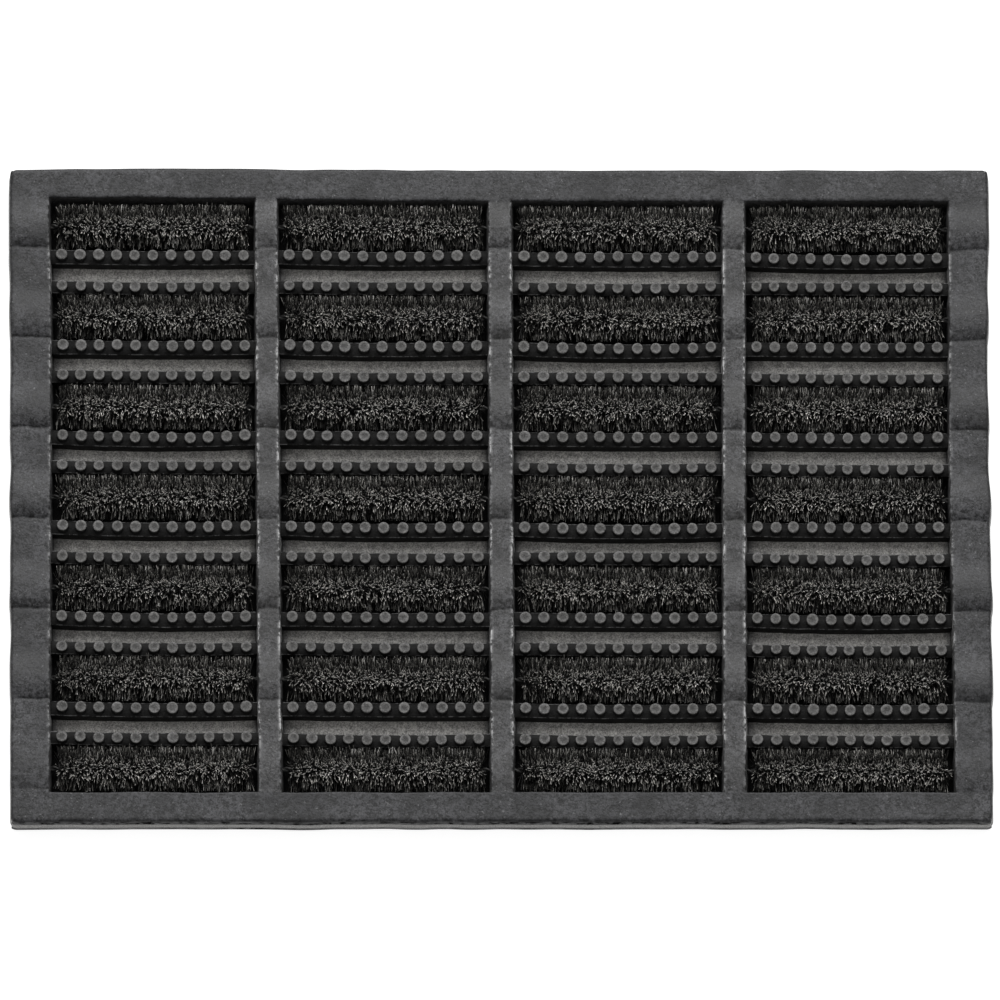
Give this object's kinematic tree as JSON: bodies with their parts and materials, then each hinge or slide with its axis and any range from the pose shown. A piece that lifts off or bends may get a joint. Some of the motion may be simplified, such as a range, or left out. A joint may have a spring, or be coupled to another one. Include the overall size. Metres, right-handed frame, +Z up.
{
  "type": "door mat",
  "caption": "Rectangular rubber scraper door mat: a moulded frame with rows of round pips beside dirt channels, and round wire-cored brushes moulded across it.",
  "frame": {"origin": "centre of the mat's underside, on the floor", "axes": "+X along the mat's long side, along the brushes; +Y towards its back edge; +Z up from the floor"},
  "size_m": [0.6, 0.41, 0.0215],
  "materials": {
    "rubber": "matte moulded",
    "wire": "galvanised",
    "bristle": "matte crimped filament"
  },
  "bodies": {
    "root": {"rubber_frame": "rubber", "wire_core_1": "wire", "wire_core_2": "wire", "wire_core_3": "wire", "wire_core_4": "wire", "wire_core_5": "wire", "wire_core_6": "wire", "wire_core_7": "wire", "bristles_r1_c1": "bristle", "bristles_r1_c2": "bristle", "bristles_r1_c3": "bristle", "bristles_r1_c4": "bristle", "bristles_r2_c1": "bristle", "bristles_r2_c2": "bristle", "bristles_r2_c3": "bristle", "bristles_r2_c4": "bristle", "bristles_r3_c1": "bristle", "bristles_r3_c2": "bristle", "bristles_r3_c3": "bristle", "bristles_r3_c4": "bristle", "bristles_r4_c1": "bristle", "bristles_r4_c2": "bristle", "bristles_r4_c3": "bristle", "bristles_r4_c4": "bristle", "bristles_r5_c1": "bristle", "bristles_r5_c2": "bristle", "bristles_r5_c3": "bristle", "bristles_r5_c4": "bristle", "bristles_r6_c1": "bristle", "bristles_r6_c2": "bristle", "bristles_r6_c3": "bristle", "bristles_r6_c4": "bristle", "bristles_r7_c1": "bristle", "bristles_r7_c2": "bristle", "bristles_r7_c3": "bristle", "bristles_r7_c4": "bristle"}
  },
  "joints": []
}
